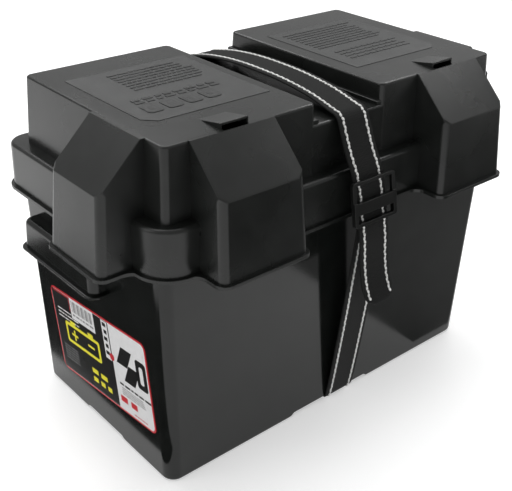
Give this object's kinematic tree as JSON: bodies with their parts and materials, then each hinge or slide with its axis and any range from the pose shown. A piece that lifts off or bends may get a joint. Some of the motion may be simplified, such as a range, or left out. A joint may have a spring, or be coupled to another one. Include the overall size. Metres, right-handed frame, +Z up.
{
  "type": "battery box",
  "caption": "Black moulded box for one vehicle-size battery, with a lift-off lid that has hollow cable pods, end grips, and a webbing hold-down strap with a three-bar buckle.",
  "frame": {"origin": "middle of the whole object's footprint, on the surface it stands on", "axes": "+X along the box's length, -Y is the front with the buckle and the two front cable pods, +Z up"},
  "size_m": [0.4242, 0.2558, 0.2849],
  "materials": {
    "tub_plastic": "semi-gloss black moulded polypropylene",
    "lid_plastic": "fine-textured satin black moulded polypropylene",
    "label_paper": "printed paper-film sticker, satin",
    "webbing": "black woven webbing with two white chain-stitched lines",
    "buckle_plastic": "black moulded nylon"
  },
  "bodies": {
    "tub": {"battery_tub": "tub_plastic", "end_handle_left": "tub_plastic", "end_handle_right": "tub_plastic", "end_label": "label_paper", "strap_lower_front": "webbing", "strap_lower_rear": "webbing", "strap_under_base": "webbing"},
    "lid": {"lid_shell": "lid_plastic", "strap_over_lid": "webbing", "strap_upper_front": "webbing", "strap_upper_rear": "webbing", "strap_tail": "webbing"},
    "buckle": {"buckle": "buckle_plastic"}
  },
  "joints": [
    {"name": "lid_lift", "type": "slide", "parent": "tub", "child": "lid", "axis": [0, 0, 1], "range_m": [0, 0.06]},
    {"name": "buckle_tilt", "type": "hinge", "parent": "lid", "child": "buckle", "pos_m": [0.003, -0.1132, 0.189], "axis": [1, 0, 0], "range_deg": [0, 45]}
  ]
}
